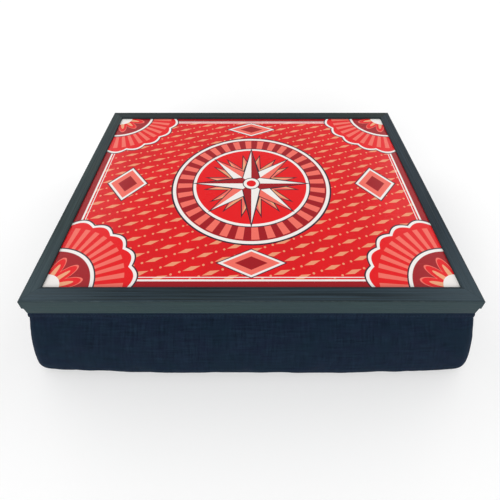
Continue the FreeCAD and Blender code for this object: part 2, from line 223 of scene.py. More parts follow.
def painted_wood(name, along_x, seed, dark, light):
    """Slate satin paint over a fine straight grain, which shows most on the upper faces. The sides are
    painted lighter and greener than the tops, as painted light from the front.
    """
    streak_length, streak_width = 190, 2.2
    grain_length, grain_width = 70, 0.9
    pore_length, pore_width = 16, 0.7
    rust_length, rust_width, rust_start = 260, 1.3, 9
    cloud_width, cloud_height = 70, 40
    highlight_near, highlight_far = 15, 95
    rub_size, rub_reach, rub_start, rub_full = 7, 3, 0.75, 1.5
    arris_width, arris_soft = 1.3, 0.8
    lip_shade_width, lip_shade_soft = 2.2, 1.4
    lip_shade_share = 0.6 if along_x else 0.2
    mitre_width = 0.3
    relief = 0.2

    made = Surface(name, Specular_IOR_Level=0.08)
    x, y, z = made.place()
    along, across = (x, y) if along_x else (y, x)
    upper = made.span(made.upright(), 0.3, 0.8)
    streaks = made.noise(along / streak_length + seed, across / streak_width, z / streak_width, 3, 0.55)
    grain = made.noise(along / grain_length + seed, across / grain_width, z / grain_width, 3, 0.6)
    pores = made.noise(along / pore_length + seed, across / pore_width, z / pore_width, 3, 0.6)
    rust = made.noise(along / rust_length + seed, across / rust_width + rust_start, z, 2, 0.5)
    cloud = made.noise(x / cloud_width, y / cloud_width + seed, z / cloud_height, 3, 0.55)
    lines = made.span(streaks * 0.6 + grain * 0.4, 0.4, 0.6)
    pits = made.span(pores, 0.6, 0.72)
    # Painted light: the sides get a lighter, greener copy of the paint than the upper faces, as if lit
    # from the front.
    sides = made.mix(lines, shade(40, 56, 57), shade(47, 63, 65))
    tops = made.mix(lines, dark, light)
    tops = made.mix(made.span(rust, 0.56, 0.66) * 0.55, tops, shade(44, 46, 42))
    body = made.mix(upper, sides, tops)
    body = made.mix(made.span(cloud, 0.35, 0.65) * 0.3, body, shade(40, 52, 62))

    # A painted highlight on the upper faces towards the two front corners, and darker in the pores.
    reach_x = HALF_WIDTH / MM - abs(x)
    reach_y = HALF_DEPTH / MM - abs(y)
    behind = y + HALF_DEPTH / MM
    corner_highlight = 1 - made.span(made.distance(reach_x, behind), highlight_near, highlight_far)
    body = made.mix(corner_highlight * upper * 0.6, body, shade(66, 80, 87))
    body = made.mix(pits * 0.4, body, shade(24, 31, 33))

    # A dark line and rubbed spots on the outer edges, painted shade along the inner lip, and the mitre's
    # joint.
    outer = made.math("MINIMUM", reach_x, reach_y)
    arris = made.distance(outer, TRAY_TOP / MM - z)
    edge = made.math("MINIMUM", arris, made.distance(reach_x, reach_y))
    rubbed = made.noise(x / rub_size, y / rub_size, z / rub_size + seed, 4, 0.7)
    wear = made.span(rubbed * rub_reach - edge, rub_start, rub_full)
    lip = RAIL_FACE / MM - outer
    mitre = abs(reach_x - reach_y)
    body = made.mix(made.within(arris_width - arris, arris_soft) * 0.35, body, shade(26, 34, 35))
    body = made.mix(wear * 0.25, body, shade(84, 96, 97))
    # Painted shade along the inner edge next to the print: strong on the front and rear rails, faint on
    # the ends.
    body = made.mix(made.within(lip_shade_width - lip, lip_shade_soft) * lip_shade_share, body, shade(17, 25, 28))
    body = made.mix(made.within(mitre_width - mitre) * 0.4, body, shade(20, 27, 30))
    gloss = made.ramp(lines, 0.38, 0.14) + wear * 0.12
    return made.finish(body, gloss, made.bump(lines * 0.6 - pits * 0.5, relief))


def woven_cloth(name):
    """Navy plain weave with slubbed yarns, whose shade drifts from yarn to yarn."""
    yarn_pitch = 1.1
    slub_length, slub_width = 24, 2.4
    drift_across, drift_up = 14, 11
    cast_across, cast_up = 60, 45
    relief = 0.22

    made = Surface(
        name,
        Specular_IOR_Level=0.06,
        Sheen_Weight=0.05,
        Sheen_Roughness=0.45,
        Sheen_Tint=shade(96, 128, 176),
    )
    across, up = made.flat("weave")
    warp = made.math("SINE", across * (math.pi / yarn_pitch))
    weft = made.math("SINE", up * (math.pi / yarn_pitch))
    over = made.math("GREATER_THAN", warp * weft, 0.0)
    yarns = abs(warp) * over + abs(weft) * (1 - over)
    warp_slub = made.noise(across / slub_width, up / slub_length, 0, 3, 0.6)
    weft_slub = made.noise(across / slub_length, up / slub_width, 7, 3, 0.6)
    drift = made.noise(across / drift_across, up / drift_up, 3, 3, 0.6)
    cast = made.noise(across / cast_across, up / cast_up, 5, 3, 0.6)
    slub = made.span(warp_slub + weft_slub, 0.76, 1.24)
    body = made.mix(slub, shade(7, 19, 33), shade(26, 41, 57))
    body = made.mix(made.span(drift, 0.4, 0.62) * 0.45, body, shade(20, 27, 47))
    body = made.mix(made.span(cast, 0.45, 0.65) * 0.45, body, shade(13, 33, 44))
    # Painted shade in the gaps between the yarns.
    body = made.mix((1 - yarns) * 0.3, body, shade(6, 12, 20))
    return made.finish(body, made.ramp(slub, 0.82, 0.1), made.bump(yarns * 0.8 + slub * 0.4, relief))


# The print: its colours, and the window inside the lip, in millimetres from the middle.
RED = shade(230, 16, 23)
DULL_RED = shade(214, 13, 22)
SPECKLE_RED = shade(120, 10, 20)
MAROON = shade(158, 12, 24)
SALMON = shade(243, 112, 98)
TAN = shade(240, 166, 124)
WHITE = shade(244, 240, 236)
INK = shade(34, 22, 40)
WINDOW_X = (HALF_WIDTH - RAIL_FACE) / MM
WINDOW_Y = (HALF_DEPTH - RAIL_FACE) / MM


def sprinkled_lozenges(made, body, x, y):
    """Leaning rows of lozenges with dots between them, each row half a step on from the last."""
    lean = math.radians(20)
    step, row_height = 34.0, 12.0
    half_length, half_width, crispness = 9.5, 2.6, 3
    dot_place, dot_radius = 12.5, 1.3
    rows_x = x * math.cos(lean) + y * math.sin(lean)
    rows_y = y * math.cos(lean) - x * math.sin(lean)
    row = made.math("FLOOR", rows_y / row_height)
    shifted = rows_x + made.math("FLOORED_MODULO", row, 2.0) * (step / 2)
    cell_x = abs(made.math("FLOORED_MODULO", shifted, step) - step / 2)
    cell_y = abs(made.math("FLOORED_MODULO", rows_y, row_height) - row_height / 2)
    lozenge = 1 - cell_x / half_length - cell_y / half_width
    dot = dot_radius - made.distance(cell_x - dot_place, cell_y)
    sprig = made.math("MAXIMUM", made.within(lozenge * crispness), made.within(dot))
    return made.mix(sprig * 0.85, body, TAN)


def ruled_border(made, body, x, y):
    """A dark margin with a broad rule along its inner edge, and a fine rule inside that."""
    margin, broad_half = 9, 1.1
    fine_inset, fine_half = 12.5, 0.5
    inset = made.math("MINIMUM", WINDOW_X - abs(x), WINDOW_Y - abs(y))
    body = made.mix(made.within(margin - inset), body, MAROON)
    body = made.mix(made.within(broad_half - abs(inset - margin)), body, WHITE)
    return made.mix(made.within(fine_half - abs(inset - fine_inset)), body, WHITE)


def rings(made, body, distance, reaches):
    """Discs laid on each other, each with its reach and colour, the widest first."""
    for reach, paint in reaches:
        body = made.mix(made.within(reach - distance), body, paint)
    return body


def corner_fans(made, body, x, y):
    """A ribbed, scalloped fan in each corner, with a flower at its foot."""
    fan_reach, scallop_rise, scallops = 82, 5, 10
    ink_rim, white_rim = 5, 3.4
    rib_reach, rib_waves, rib_crispness = 78, 40, 2
    foot = ((50, INK), (48.6, WHITE), (45, MAROON))
    petal_foot, petal_rise, petals, petal_rim = 23, 15, 6, 2
    heart_foot, heart_rise, heart_sharpness = 13, 16, 3.0
    eye = ((16, WHITE),)

    fan_x = WINDOW_X - abs(x)
    fan_y = WINDOW_Y - abs(y)
    fan = made.distance(fan_x, fan_y)
    turn = made.math("ARCTAN2", fan_y, fan_x)
    scallop = abs(made.math("SINE", turn * scallops)) * scallop_rise + fan_reach - fan
    ribs = made.within(made.math("SINE", turn * rib_waves) * rib_crispness)
    body = made.mix(made.within(scallop + ink_rim), body, INK)
    body = made.mix(made.within(scallop + white_rim), body, WHITE)
    body = made.mix(made.within(scallop), body, RED)
    body = made.mix(ribs * made.within(rib_reach - fan), body, SALMON)
    body = rings(made, body, fan, foot)
    lobe = abs(made.math("SINE", turn * petals))
    petal = lobe * petal_rise + petal_foot - fan
    heart = made.math("POWER", lobe, heart_sharpness) * heart_rise + heart_foot - fan
    body = made.mix(made.within(petal), body, SALMON)
    body = made.mix(made.within(petal - petal_rim), body, RED)
    body = made.mix(made.within(heart), body, TAN)
    return rings(made, body, fan, eye)


def gems(made, body, x, y):
    """Cut gems between the medallion and the border: two at the ends and two at the long sides."""
    end_gem = (158, 0, 24, 30)
    side_gem = (0, 124, 34, 17)
    layer_shares = ((0.1, INK), (0.03, WHITE), (-0.12, SALMON), (-0.5, MAROON))
    soft_share = 0.02
    for centre_x, centre_y, half_width, half_depth in (end_gem, side_gem):
        off_x = abs(abs(x) - centre_x) / half_width
        off_y = abs(abs(y) - centre_y) / half_depth
        gem = 1 - off_x - off_y
        for share, paint in layer_shares:
            body = made.mix(made.within(gem + share, soft_share), body, paint)
    return body


def star_edge(made, distance, turn, points, tip, notch):
    """How far inside the edge of a straight-sided star a place lies."""
    half = math.pi / points
    folded = made.math("PINGPONG", turn, half)
    end = Vector((notch * math.cos(half) - tip, notch * math.sin(half)))
    inwards = Vector((-end.y, end.x)).normalized()
    if inwards.x > 0:
        inwards = -inwards
    reach = made.math("COSINE", folded) * distance
    aside = made.math("SINE", folded) * distance
    return (reach - tip) * inwards.x + aside * inwards.y


def medallion(made, body, x, y):
    """A compass of three stars in a rayed ring, with an eye in the middle."""
    ring = ((101, INK), (99, WHITE), (95, MAROON))
    ray_reach, ray_waves, ray_crispness = 93, 32, 3
    field = ((75, INK), (73.6, WHITE), (70, RED))
    eye = ((11, INK), (9.8, WHITE), (6, RED))
    outline = 1.2
    # Points, first angle, reach of the tips and of the notches, and the colours of the two facets.
    stars = (
        (16, math.pi / 16, 56, 30, TAN, SALMON),
        (8, 0.0, 67, 25, WHITE, SALMON),
        (4, 0.0, 69, 15, WHITE, MAROON),
    )

    distance = made.distance(x, y)
    turn = made.math("ARCTAN2", y, x)
    rays = made.within(made.math("SINE", turn * ray_waves) * ray_crispness)
    body = rings(made, body, distance, ring)
    body = made.mix(rays * made.within(ray_reach - distance), body, SALMON)
    body = rings(made, body, distance, field)
    for points, start, tip, notch, lit, dim in stars:
        swung = turn + start
        edge = star_edge(made, distance, swung, points, tip, notch)
        sector = made.math("FLOORED_MODULO", swung, math.tau / points)
        facet = made.math("LESS_THAN", sector, math.pi / points)
        body = made.mix(made.within(edge + outline), body, INK)
        body = made.mix(made.within(edge), body, made.mix(facet, dim, lit))
    return rings(made, body, distance, eye)


def printed_panel(name):
    """Glossy red print: sprinkled lozenges, a border, corner fans, gems and a compass medallion."""
    cloud_size, speckle_size, peel_size = 60, 0.8, 3
    smudge_width, smudge_depth = 45, 30
    relief = 0.02

    made = Surface(name, Coat_Weight=0.12, Coat_Roughness=0.1, Specular_IOR_Level=0.12)
    x, y, _ = made.place()
    cloud = made.noise(x / cloud_size, y / cloud_size, 0, 3, 0.55)
    body = made.mix(made.span(cloud, 0.35, 0.7), DULL_RED, RED)
    for motif in (sprinkled_lozenges, ruled_border, corner_fans, gems, medallion):
        body = motif(made, body, x, y)
    speckle = made.noise(x / speckle_size, y / speckle_size, 0, 2, 0.6)
    body = made.mix(made.span(speckle, 0.3, 0.9) * 0.12, body, SPECKLE_RED)
    smudge = made.noise(x / smudge_width, y / smudge_depth, 4, 4, 0.65)
    gloss = made.ramp(made.span(smudge, 0.4, 0.75), 0.2, 0.14)
    peel = made.noise(x / peel_size, y / peel_size, 1, 2, 0.5)
    return made.finish(body, gloss, made.bump(peel, relief))


def fibreboard(name):
    """Pressed wood fibre, a little darker in flecks."""
    fibre_size, fibre_height = 1.2, 0.6
    fleck_width, fleck_depth, fleck_height = 4, 2.5, 2
    relief = 0.12
    made = Surface(name, Specular_IOR_Level=0.2)
    x, y, z = made.place()
    fibre = made.noise(x / fibre_size, y / fibre_size, z / fibre_height, 4, 0.7)
    fleck = made.noise(x / fleck_width, y / fleck_depth, z / fleck_height, 3, 0.6)
    body = made.mix(fibre, shade(150, 118, 82), shade(182, 150, 112))
    body = made.mix(made.span(fleck, 0.58, 0.7) * 0.4, body, shade(112, 84, 56))
    return made.finish(body, made.ramp(fibre, 0.72, 0.2), made.bump(fibre, relief))


def hardboard(name):
    """Brown hardboard, whose underside carries the print of a wire screen."""
    fibre_size, cloud_size, screen_pitch = 2, 35, 1.6
    relief = 0.2
    made = Surface(name, Specular_IOR_Level=0.3)
    x, y, z = made.place()
    fibre = made.noise(x / fibre_size, y / fibre_size, z / fibre_size, 4, 0.68)
    cloud = made.noise(x / cloud_size, y / cloud_size, z / cloud_size, 3, 0.55)
    screen = made.wave(x, screen_pitch) * made.wave(y, screen_pitch)
    body = made.mix(fibre, shade(84, 56, 36), shade(122, 86, 58))
    body = made.mix(made.span(cloud, 0.4, 0.7) * 0.5, body, shade(98, 68, 47))
    return made.finish(body, made.ramp(fibre, 0.5, 0.2), made.bump(screen * 0.7 + fibre * 0.3, relief))


def bright_steel(name):
    """Drawn steel wire and strip with faint scratches and dull spots."""
    scratch_width, scratch_length, spot_size = 0.25, 3, 3
    relief = 0.02
    made = Surface(name, Metallic=1.0)
    x, y, z = made.place()
    drawn = made.noise(x / scratch_width, y / scratch_width, z / scratch_length, 3, 0.6)
    dull = made.noise(x / spot_size, y / spot_size, z / spot_size, 3, 0.6)
    body = made.mix(dull, shade(150, 150, 154), shade(190, 190, 192))
    return made.finish(body, made.ramp(dull, 0.25, 0.25), made.bump(drawn, relief))


def hook_tape(name):
    """Black nylon tape with close rows of stiff hooks."""
    hook_pitch = 1.5
    lint_width, lint_length = 1.5, 6
    hook_height = 0.7
    made = Surface(name, Specular_IOR_Level=0.35)
    x, y, z = made.place()
    hooks = made.wave(x, hook_pitch) * made.wave(y, hook_pitch)
    lint = made.noise(x / lint_width, y / lint_length, z, 3, 0.65)
    # Lighter on the hooks and darker between them: painted shade in the rows between the hooks.
    body = made.mix(made.span(hooks, 0.2, 0.8), shade(14, 15, 18), shade(38, 39, 44))
    body = made.mix(made.span(lint, 0.62, 0.75) * 0.3, body, shade(92, 92, 96))
    return made.finish(body, made.ramp(hooks, 0.6, -0.2), made.bump(hooks, hook_height))


# The loop tape's flat woven edge.
SELVEDGE = 1.8 * MM


def loop_tape(name):
    """Black tape with a napped pile between two ribbed edges."""
    nap_size, rib_pitch = 0.9, 0.8
    comb_length, comb_width = 6, 4
    nap_height = 0.5
    made = Surface(name, Specular_IOR_Level=0.1, Sheen_Weight=0.2, Sheen_Roughness=0.6)
    along, across = made.flat("tape")
    nap = made.noise(along / nap_size, across / nap_size, 0, 4, 0.75)
    comb = made.noise(along / comb_length, across / comb_width, 2, 3, 0.6)
    ribs = made.wave(along, rib_pitch)
    pile = made.within(across - SELVEDGE / MM) * made.within((TAPE_WIDTH - SELVEDGE) / MM - across)
    napped = made.mix(made.span(nap, 0.3, 0.75), shade(12, 13, 16), shade(40, 42, 48))
    napped = made.mix(made.span(comb, 0.45, 0.7) * 0.4, napped, shade(23, 25, 31))
    # The ribbed edges are darker between the ribs: painted shade in their grooves.
    ribbed = made.mix(ribs, shade(10, 11, 13), shade(30, 31, 35))
    body = made.mix(pile, ribbed, napped)
    height = nap * pile + ribs * (1 - pile) * 0.4
    return made.finish(body, made.ramp(nap, 0.86, 0.1), made.bump(height, nap_height))


def sewing_thread(name, dark, light):
    """Twisted thread, lighter on its strands than between them: painted shade in the grooves."""
    strand_pitch, fuzz_size = 0.5, 0.4
    relief = 0.1
    made = Surface(name, Specular_IOR_Level=0.2)
    x, y, z = made.place()
    strands = made.wave(x + y + z, strand_pitch)
    fuzz = made.noise(x / fuzz_size, y / fuzz_size, z / fuzz_size, 3, 0.6)
    # Painted shade between the strands.
    body = made.mix(made.span(strands * 0.7 + fuzz * 0.3, 0.2, 0.8), dark, light)
    return made.finish(body, made.ramp(fuzz, 0.6, 0.15), made.bump(strands, relief))


def dress(name, material):
    """Give a node from the frame its material."""
    mesh = nodes[name].data
    mesh.materials.clear()
    mesh.materials.append(material)


# Each rail: its side, whether its grain runs along X, and the dark and light lines of its top. The tops
# differ in painted light and shade: the left is lighter, the right and rear darker.
RAIL_PAINTS = (
    ("front", True, shade(22, 31, 34), shade(50, 65, 74)),
    ("rear", True, shade(16, 25, 24), shade(34, 45, 44)),
    ("left", False, shade(34, 46, 47), shade(57, 71, 71)),
    ("right", False, shade(19, 29, 34), shade(45, 58, 68)),
)
GRAIN_STEP = 3.7
for number, (side, along_x, dark, light) in enumerate(RAIL_PAINTS):
    paint = painted_wood(f"painted_{side}_rail", along_x, GRAIN_STEP * number, dark, light)
    dress(f"{side}_rail", paint)
dress("printed_laminate", printed_panel("print"))
dress("tray_board", fibreboard("fibreboard"))
dress("backing_board", hardboard("hardboard"))
steel = bright_steel("steel")
dress("mitre_pins", steel)
dress("retaining_points", steel)
hook_nylon = hook_tape("hook_tape")
for side in SIDES:
    dress(f"hook_strip_{side}", hook_nylon)


# The cushion: a box of cloth in square cells, drawn to the cover's outlines and blown up from inside.
CELLS_X = 84
CELLS_Y = 66
CELLS_UP = 26
BASE_STEPS = 24
SIDE_STEPS = 40
cover_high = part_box("cushion_cover")[1]
top_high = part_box("cushion_top_panel")[1]
CUSHION_TOP = top_high.z
SEAM_INSET = HALF_WIDTH - top_high.x

# Its side bellies out over the base and draws in to a waist, below the shoulder of the top seam.
SIDE_SWELL = 4.5 * MM
SAG_X = 4.0 * MM
SAG_Y = 1.2 * MM
BELLY_INSET_X = HALF_WIDTH - (cover_high.x - SIDE_SWELL) - SAG_X
BELLY_INSET_Y = HALF_DEPTH - (cover_high.y - SIDE_SWELL) - SAG_Y
BASE_TUCK = 5 * MM
BASE_ROUNDING = 10 * MM
DRAWING_IN = 1.4
WAIST_INSET_X = SEAM_INSET - 4.5 * MM
WAIST_INSET_Y = SEAM_INSET - 1.5 * MM
BASE_CORNER = 44 * MM
BELLY_CORNER = 17 * MM
SEAM_CORNER = 3 * MM

# The shoulder, from the waist up: how much further in it is than the waist along X and Y, and how high.
# It is rounded at the ends, and nearly upright at the front and rear.
SHOULDER_X = np.array((0.1, 0.4, 1.1, 2.6, 3.3, 4.2)) * MM
SHOULDER_Y = np.array((-0.1, -0.2, -0.3, -0.4, -0.3, 0.4)) * MM
SHOULDER_UP = np.array((2, 5, 8, 11.1, 11.75, 12)) * MM
WAIST_HEIGHT = CUSHION_TOP - SHOULDER_UP[-1]

# The crown of the top between the tapes, and the share of the base that stays on the floor.
CROWN = 3 * MM
CROWN_HALF_WIDTH = 160 * MM
CROWN_HALF_DEPTH = 110 * MM
CROWN_FULLNESS = 0.8
BASE_HELD_SHARE = 0.965

# Lumps and puckers: how many in a metre, where the noise starts, and how far they stand out.
LUMPS, LUMP_START, LUMP_RISE = 14, Vector((3, 8, 1)), 0.8 * MM
FINE_LUMPS, FINE_START, FINE_RISE = 42, Vector((9, 2, 5)), 0.4 * MM
PUCKERS, PUCKER_START, PUCKER_RISE = 72, Vector((1, 6, 2)), 1.6 * MM
PUCKER_DROP = 34 * MM

# Blowing up: the cloth, the frames that it runs, the farthest move and the share kept of inward moves.
CLOTH = {
    "quality": 6,
    "mass": 0.25,
    "tension_stiffness": 12,
    "compression_stiffness": 12,
    "shear_stiffness": 4,
    "bending_stiffness": 0.4,
    "shrink_min": -0.012,
    "use_pressure": True,
    "uniform_pressure_force": 1.6,
    "vertex_group_mass": "held",
}
CLOTH_FRAMES = 24
FARTHEST_MOVE = 4 * MM
INWARD_SHARE = 0.25

# The shoulder's corners: the zone that they lie in, how far below the waist it starts, the least rise
# of an upright edge in it, and the crease of such an edge.
CORNER_ZONE = 2 * MM
CORNER_DROP = 1 * MM
UPRIGHT_RISE = 0.1 * MM
CORNER_CREASE = 0.9


def between(first, last, share):
    """Value a share of the way from the first to the last."""
    return first + (last - first) * share


def side_stations():
    """Points from the base to the waist: insets from the frame along X and Y, height, corner and swell."""
    stations = []
    for step in range(BASE_STEPS):
        angle = step / BASE_STEPS * math.pi / 2
        turn = math.sin(angle)
        height = BASE_ROUNDING * (1 - math.cos(angle))
        corner = between(BASE_CORNER, BELLY_CORNER, turn)
        tuck = between(BASE_TUCK, 0, turn)
        stations.append((BELLY_INSET_X + tuck, BELLY_INSET_Y + tuck, height, corner, SIDE_SWELL))
    for step in range(SIDE_STEPS + 1):
        climbed = step / SIDE_STEPS
        drawn_in = climbed ** DRAWING_IN
        height = between(BASE_ROUNDING, WAIST_HEIGHT, climbed)
        corner = between(BELLY_CORNER, SEAM_CORNER, drawn_in)
        inset_x = between(BELLY_INSET_X, WAIST_INSET_X, drawn_in)
        inset_y = between(BELLY_INSET_Y, WAIST_INSET_Y, drawn_in)
        stations.append((inset_x, inset_y, height, corner, between(SIDE_SWELL, 0, drawn_in)))
    return np.array(stations)


def even_steps(stations, count):
    """The stations in steps of even length up the front, with the length run at each."""
    runs = np.linalg.norm(np.diff(stations[:, 1:3], axis=0), axis=1)
    run = np.concatenate([[0], np.cumsum(runs)])
    even = np.linspace(0, run[-1], count + 1)
    return np.column_stack([np.interp(even, run, column) for column in stations.T]), even


def side_point(share, half, distance, corner, swell):
    """Point of one side of a rounded rectangle: along the side, and out from the middle."""
    straight = half - corner
    run = abs(share) * (straight + corner * math.pi / 4)
    if run <= straight:
        along = run
        out = distance + swell * (1 - (run / straight) ** 2)
    else:
        turn = (run - straight) / corner
        along = straight + corner * math.sin(turn)
        out = distance - corner * (1 - math.cos(turn))
    return math.copysign(along, share), out


def on_outline(u, v, outline):
    """Point of a rounded outline that a point on the edge of the unit square goes to."""
    inset_x, inset_y, height, corner, swell = outline
    half_width = HALF_WIDTH - inset_x
    half_depth = HALF_DEPTH - inset_y
    if abs(v) >= abs(u):
        along, out = side_point(u, half_width, half_depth, corner, swell)
        return along, math.copysign(out, v), height
    along, out = side_point(v, half_depth, half_width, corner, swell)
    return math.copysign(out, u), along, height


def square_edge():
    """Points round the edge of the unit square, from its front left corner, the front first."""
    front = [(-1 + 2 * step / CELLS_X, -1.0) for step in range(CELLS_X)]
    right = [(1.0, -1 + 2 * step / CELLS_Y) for step in range(CELLS_Y)]
    return front + right + [(-u, -v) for u, v in front] + [(-u, -v) for u, v in right]


def crown(x, y):
    """How far the filling lifts the top between the tapes."""
    across = max(0, 1 - (x / CROWN_HALF_WIDTH) ** 2)
    along = max(0, 1 - (y / CROWN_HALF_DEPTH) ** 2)
    return CROWN * (across * along) ** CROWN_FULLNESS


class ClothBox:
    """Points, faces, weave coordinates of each face corner, and the points that stay where they are."""

    def __init__(self):
        levels, climb = even_steps(side_stations(), CELLS_UP)
        shoulder = np.column_stack(
            [WAIST_INSET_X + SHOULDER_X, WAIST_INSET_Y + SHOULDER_Y, WAIST_HEIGHT + SHOULDER_UP]
        )
        outlines = [tuple(level) for level in levels]
        outlines += [(*row, SEAM_CORNER, 0) for row in shoulder]
        self.edge = square_edge()
        self.points = [on_outline(u, v, outline) for outline in outlines for u, v in self.edge]
        self.faces = []
        self.weave = []
        around = len(self.edge)
        self.held = list(range(CELLS_UP * around, len(self.points)))
        rounds = [list(range(level * around, (level + 1) * around)) for level in range(len(outlines))]
        self.add_wall(rounds, np.concatenate([climb, climb[-1] + SHOULDER_UP]))
        self.add_cap(rounds[0], outlines[0], False)
        self.add_cap(rounds[-1], outlines[-1], True)

    def add_wall(self, rounds, climb):
        """Faces between each round of points and the next."""
        around = len(self.edge)
        lengths = np.linalg.norm(np.diff(np.array(self.points[: around + 1]), axis=0), axis=1)
        run = np.concatenate([[0], np.cumsum(lengths)])
        for level, (lower, upper) in enumerate(zip(rounds, rounds[1:])):
            low, high = climb[level], climb[level + 1]
            for step in range(around):
                after = (step + 1) % around
                left, right = run[step], run[step + 1]
                self.faces.append((lower[step], lower[after], upper[after], upper[step]))
                self.weave.append(((left, low), (right, low), (right, high), (left, high)))

    def add_cap(self, rim, outline, upwards):
        """A grid of cells inside a round of points: the crowned top, or the flat base."""
        place = {}
        for step, (u, v) in enumerate(self.edge):
            place[round((u + 1) / 2 * CELLS_X), round((v + 1) / 2 * CELLS_Y)] = rim[step]
        for i in range(1, CELLS_X):
            for j in range(1, CELLS_Y):
                u, v = 2 * i / CELLS_X - 1, 2 * j / CELLS_Y - 1
                size = max(abs(u), abs(v), TINY)
                x, y, height = on_outline(u / size, v / size, outline)
                place[i, j] = len(self.points)
                if upwards or size < BASE_HELD_SHARE:
                    self.held.append(len(self.points))
                rise = crown(x * size, y * size) if upwards else 0
                self.points.append((x * size, y * size, height + rise))
        for i in range(CELLS_X):
            for j in range(CELLS_Y):
                corners = [place[i, j], place[i + 1, j], place[i + 1, j + 1], place[i, j + 1]]
                corners = corners if upwards else corners[::-1]
                self.faces.append(tuple(corners))
                self.weave.append([self.points[index][:2] for index in corners])


def lumps(place):
    """Uneven filling, and puckers towards the waist: how far the cloth stands out at a place."""
    broad = noise.noise(place * LUMPS + LUMP_START)
    fine = noise.noise(place * FINE_LUMPS + FINE_START)
    pucker = noise.noise(Vector((place.x, place.y, 0)) * PUCKERS + PUCKER_START)
    hold = max(0, 1 - (WAIST_HEIGHT - place.z) / PUCKER_DROP) ** 2
    return LUMP_RISE * broad + FINE_RISE * fine + PUCKER_RISE * pucker * hold


def vertex_rows(mesh, attribute):
    """A three-part value of every vertex, a row each."""
    values = np.empty(len(mesh.vertices) * 3)
    mesh.vertices.foreach_get(attribute, values)
    return values.reshape(-1, 3)


def blow_up(piece, held):
    """Places of the points once the cloth is swollen from inside, with its held points fixed."""
    start = vertex_rows(piece.data, "co")
    piece.vertex_groups.new(name="held").add(held, 1.0, "REPLACE")
    air = piece.modifiers.new("air", "CLOTH")
    for name, setting in CLOTH.items():
        setattr(air.settings, name, setting)
    air.settings.effector_weights.gravity = 0
    air.collision_settings.use_collision = False
    air.point_cache.frame_start = 1
    air.point_cache.frame_end = CLOTH_FRAMES
    for frame_number in range(1, CLOTH_FRAMES + 1):
        scene.frame_set(frame_number)
    solved = piece.evaluated_get(bpy.context.evaluated_depsgraph_get()).to_mesh()
    moves = vertex_rows(solved, "co") - start
    piece.modifiers.remove(air)
    outwards = vertex_rows(piece.data, "normal")
    inward = np.minimum((moves * outwards).sum(axis=1, keepdims=True), 0)
    moves -= outwards * inward * (1 - INWARD_SHARE)
    size = np.linalg.norm(moves, axis=1, keepdims=True)
    kept_share = FARTHEST_MOVE * np.tanh(size / FARTHEST_MOVE) / np.maximum(size, TINY)
    scene.frame_set(1)
    return start + moves * kept_share


def sharpen_corners(mesh):
    """Crease the upright edges at the shoulder's four corners, so that subdivision leaves them square."""
    creases = mesh.attributes.new("crease_edge", "FLOAT", "EDGE")
    corner_x = HALF_WIDTH - WAIST_INSET_X - CORNER_ZONE
    corner_y = HALF_DEPTH - WAIST_INSET_Y - CORNER_ZONE
    corner_z = WAIST_HEIGHT - CORNER_DROP

    def in_corner(end):
        return abs(end.x) > corner_x and abs(end.y) > corner_y and end.z > corner_z

    for edge in mesh.edges:
        first, last = [mesh.vertices[index].co for index in edge.vertices]
        if in_corner(first) and in_corner(last) and abs(first.z - last.z) > UPRIGHT_RISE:
            creases.data[edge.index].value = CORNER_CREASE


def new_piece(name, points, faces, material):
    """A smooth piece with its material, in the scene."""
    mesh = bpy.data.meshes.new(name)
    mesh.from_pydata(points, [], faces)
    mesh.polygons.foreach_set("use_smooth", [True] * len(mesh.polygons))
    mesh.materials.append(material)
    piece = bpy.data.objects.new(name, mesh)
    scene.collection.objects.link(piece)
    return piece


def make_cushion():
    """The cloth bag with its filling, in the place of its solids."""
    cloth = ClothBox()
    piece = new_piece("cushion", cloth.points, cloth.faces, woven_cloth("cushion_cloth"))
    mesh = piece.data
    threads = mesh.uv_layers.new(name="weave")
    threads.data.foreach_set("uv", np.array(cloth.weave).ravel())
    fixed = set(cloth.held)
    for vertex in mesh.vertices:
        if vertex.index not in fixed:
            vertex.co += vertex.normal * lumps(vertex.co)
    place = blow_up(piece, cloth.held)
    place[:, 2] = np.clip(place[:, 2], 0, CUSHION_TOP + CROWN)
    mesh.vertices.foreach_set("co", place.ravel())
    mesh.update()
    sharpen_corners(mesh)
    smooth = piece.modifiers.new("smooth", "SUBSURF")
    smooth.levels = 1
    smooth.render_levels = 1
    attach(piece, "cushion")
    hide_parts("cushion_cover", "cushion_top_panel", "bead_fill")


make_cushion()


# Loop tape on the cushion's top: a pile that rises between flat edges.
TAPE_CELL = 2 * MM
CELLS_ACROSS_TAPE = 12
TAPE_EDGE_HEIGHT = 0.6 * MM
PILE_HEIGHT = 2 * MM
PILE_SLOPE = 1.4 * MM
END_SLOPE = 1.2 * MM
END_RISE_SHARE = 0.3
TUFT_RISE = 0.12 * MM
TUFTS = 160
FINE_TUFTS = 420


def tape_profile(across, along, length):
    """Height of the loop tape's surface at a place on it."""
    edge = min(across, TAPE_WIDTH - across)
    end = min(along, length - along)
    rise = min(1, max(0, (edge - SELVEDGE) / PILE_SLOPE))
    rise *= min(1, max(0, end / END_SLOPE + END_RISE_SHARE))
    rise = rise * rise * (3 - 2 * rise)
    tuft = noise.noise(Vector((along, across, length)) * TUFTS)
    tuft += noise.noise(Vector((across, along, 1)) * FINE_TUFTS)
    return between(TAPE_EDGE_HEIGHT, PILE_HEIGHT + TUFT_RISE * tuft, rise)


